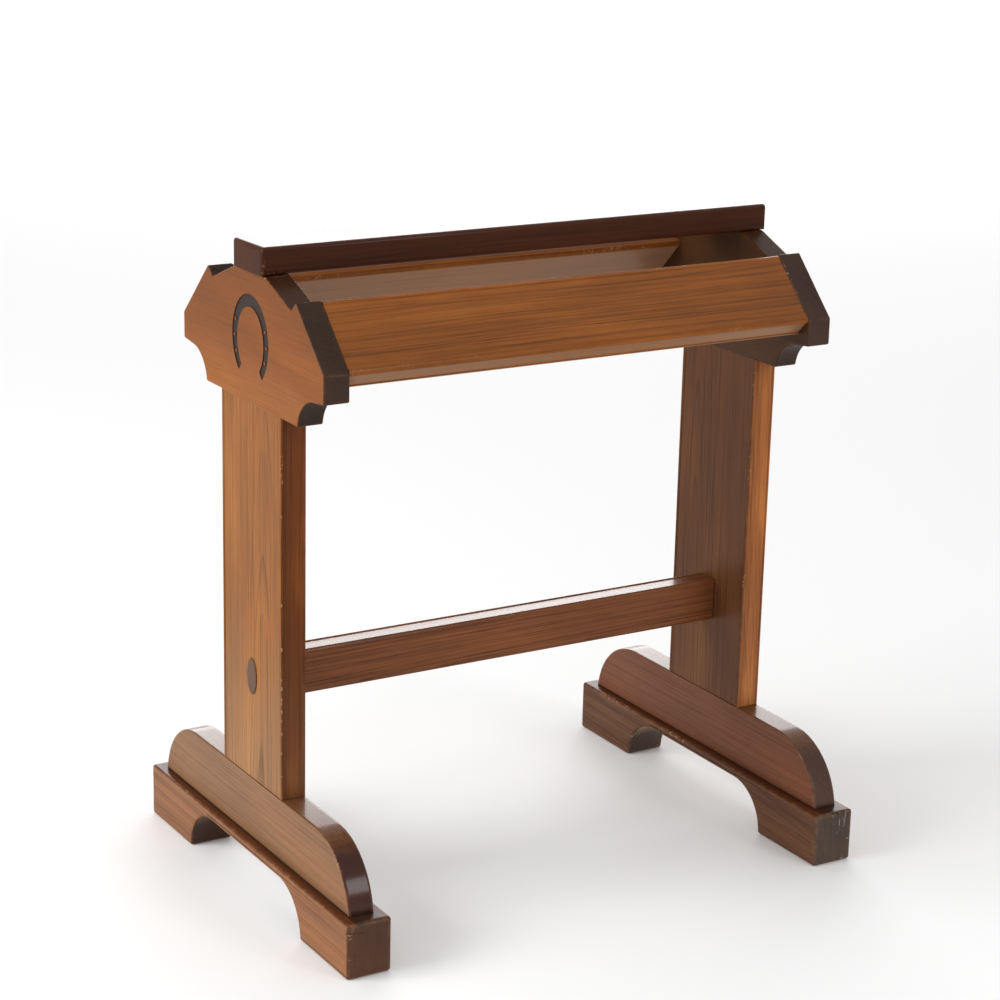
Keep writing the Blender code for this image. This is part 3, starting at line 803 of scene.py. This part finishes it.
low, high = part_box("ridge_bar")
bar = sawn_board("ridge_bar_board", low, high)
round_edges(bar, RIDGE_EDGE, lambda middle: abs(middle.x) < END_ZONE or middle.z > low.z + RIDGE_EDGE)
pine = stained_pine(
    "ridge bar pine", "ridge_bar", ALONG_X, (0.05, 0.07), (0.01, 0.01), 0.0038,
    light=(0.058, 0.0135, 0.0030), dark=(0.026, 0.0070, 0.0022), amber=(0.085, 0.024, 0.005),
    end_grain=(0.058, 0.016, 0.005), inner=(1, 1, 1), rim=(1, 1, 1), scuffs=0.12, gloss=0.32, end_gloss=0.07,
)
finish_piece(bar, pine, "ridge_bar", "ridge_bar")

# ---------------------------------------------------------------------------------------------------
# Dowels. Plain hardwood pins, left bare, that are glued between a head and what meets it. They
# are hidden when the rack is together.
# ---------------------------------------------------------------------------------------------------

DOWEL_WOOD = raw_wood("bare beech", (0.52, 0.37, 0.21))

for name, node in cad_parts.items():
    if name.endswith("dowel"):
        node.data.materials.clear()
        node.data.materials.append(DOWEL_WOOD)

# ---------------------------------------------------------------------------------------------------
# Screws and washers. Zinc-plated steel: lag screws with washers under the arch of each foot, and
# sunk screws in the pads.
# ---------------------------------------------------------------------------------------------------


def zinc_plate():
    finish = Finish("zinc plate")
    here = finish.add("ShaderNodeTexCoord", {})["Object"]
    spangle = finish.add("ShaderNodeTexVoronoi", {}, Vector=here, Scale=900.0)["Color"]
    tone = finish.add("ShaderNodeSeparateColor", {}, spangle)
    dull = finish.noise(here, (160, 160, 160), detail=3.0)
    colour = finish.blend(tone, (0.52, 0.52, 0.50), (0.66, 0.66, 0.64))
    finish.set("Base Color", finish.blend(dull.between(0.55, 0.75) * 0.5, colour, (0.33, 0.31, 0.28)))
    finish.set("Metallic", 1.0)
    finish.set("Roughness", 0.28 + 0.3 * dull)
    return finish.material


ZINC = zinc_plate()

for name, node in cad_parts.items():
    if name.endswith(("screw", "washer")):
        node.data.materials.clear()
        node.data.materials.append(ZINC)

# ---------------------------------------------------------------------------------------------------
# Floor, lights and camera. A plain pale floor, a broad soft light on the front end, a big soft panel
# behind that the varnish reflects, and an even white surround.
# ---------------------------------------------------------------------------------------------------

bpy.ops.object.select_all(action="DESELECT")
bpy.ops.mesh.primitive_plane_add(size=80)
floor = bpy.context.object
floor.name = "floor"
paper = Finish("pale floor")
paper.set("Base Color", (0.86, 0.86, 0.86))
paper.set("Roughness", 0.9)
floor.data.materials.append(paper.material)


def soft_light(name, place, aim, width, height, power):
    bpy.ops.object.select_all(action="DESELECT")
    bpy.ops.object.light_add(type="AREA", location=place)
    light = bpy.context.object
    light.name = name
    light.data.shape = "RECTANGLE"
    light.data.size = width
    light.data.size_y = height
    light.data.energy = power
    light.rotation_euler = (Vector(aim) - Vector(place)).to_track_quat("-Z", "Y").to_euler()


soft_light("key", (-3.6, 0.6, 2.4), (0, 0, 0.4), 2.2, 2.2, 120)
soft_light("back panel", (8.2, 13.6, 4.4), (0, 0, 0.5), 12.0, 7.0, 1500)
soft_light("window", (1.40, -3.66, 2.05), (-0.38, -0.3, 0.2), 0.9, 1.5, 26)

world = bpy.data.worlds.new("surround")
world.use_nodes = True
world.node_tree.nodes["Background"].inputs["Color"].default_value = (1, 1, 1, 1)
world.node_tree.nodes["Background"].inputs["Strength"].default_value = 0.70
bpy.context.scene.world = world
bpy.context.scene.view_settings.view_transform = "Standard"

bpy.ops.object.select_all(action="DESELECT")
bpy.ops.object.camera_add(location=(-1.888, -3.103, 1.600))
camera = bpy.context.object
camera.rotation_euler = [math.radians(angle) for angle in (73.466, -1.317, -30.818)]
camera.data.lens = 94.9
camera.data.sensor_width = 36
bpy.context.scene.camera = camera

bpy.context.view_layer.update()
